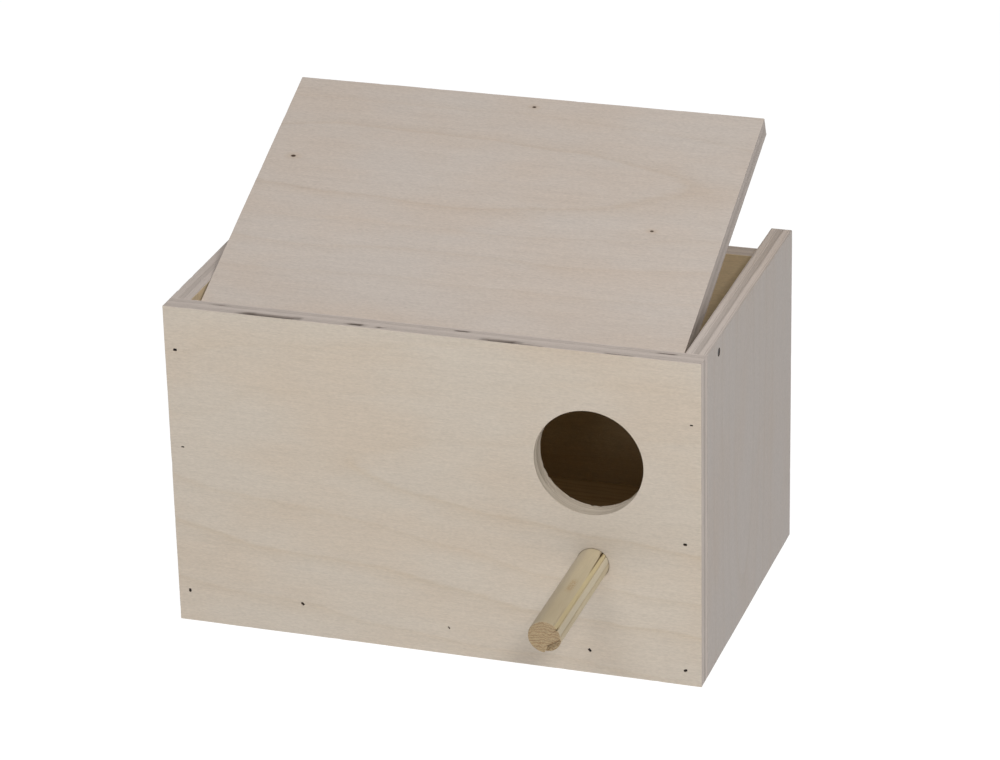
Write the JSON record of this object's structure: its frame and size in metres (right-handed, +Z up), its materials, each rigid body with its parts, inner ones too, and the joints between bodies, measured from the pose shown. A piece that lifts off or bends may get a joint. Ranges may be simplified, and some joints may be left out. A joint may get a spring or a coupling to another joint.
{
  "type": "birdhouse",
  "caption": "Wide plywood nest box with a round entrance and a dowel perch on the right of its front, and a lid that turns on nails near its front edge.",
  "frame": {"origin": "middle of the base that the box stands on", "axes": "+X to the right of someone who faces the entrance, +Y from the entrance to the back, +Z up"},
  "size_m": [0.25, 0.2347, 0.2122],
  "materials": {
    "panel_plywood": "sanded, bare",
    "lid_plywood": "sanded, bare",
    "floor_wood": "planed, bare",
    "perch_wood": "turned, bare",
    "nail_steel": "dull"
  },
  "bodies": {
    "box": {"front_panel": "panel_plywood", "back_panel": "panel_plywood", "left_side": "panel_plywood", "right_side": "panel_plywood", "floor_board": "floor_wood", "perch": "perch_wood", "left_side_brads": "nail_steel", "right_side_brads": "nail_steel", "front_floor_brads": "nail_steel", "back_floor_brads": "nail_steel", "left_hinge_nail": "nail_steel", "right_hinge_nail": "nail_steel"},
    "lid": {"lid": "lid_plywood"}
  },
  "joints": [
    {"name": "lid_hinge", "type": "hinge", "parent": "box", "child": "lid", "pos_m": [0, -0.051, 0.151], "axis": [1, 0, 0], "range_deg": [-23.2, 121]}
  ]
}
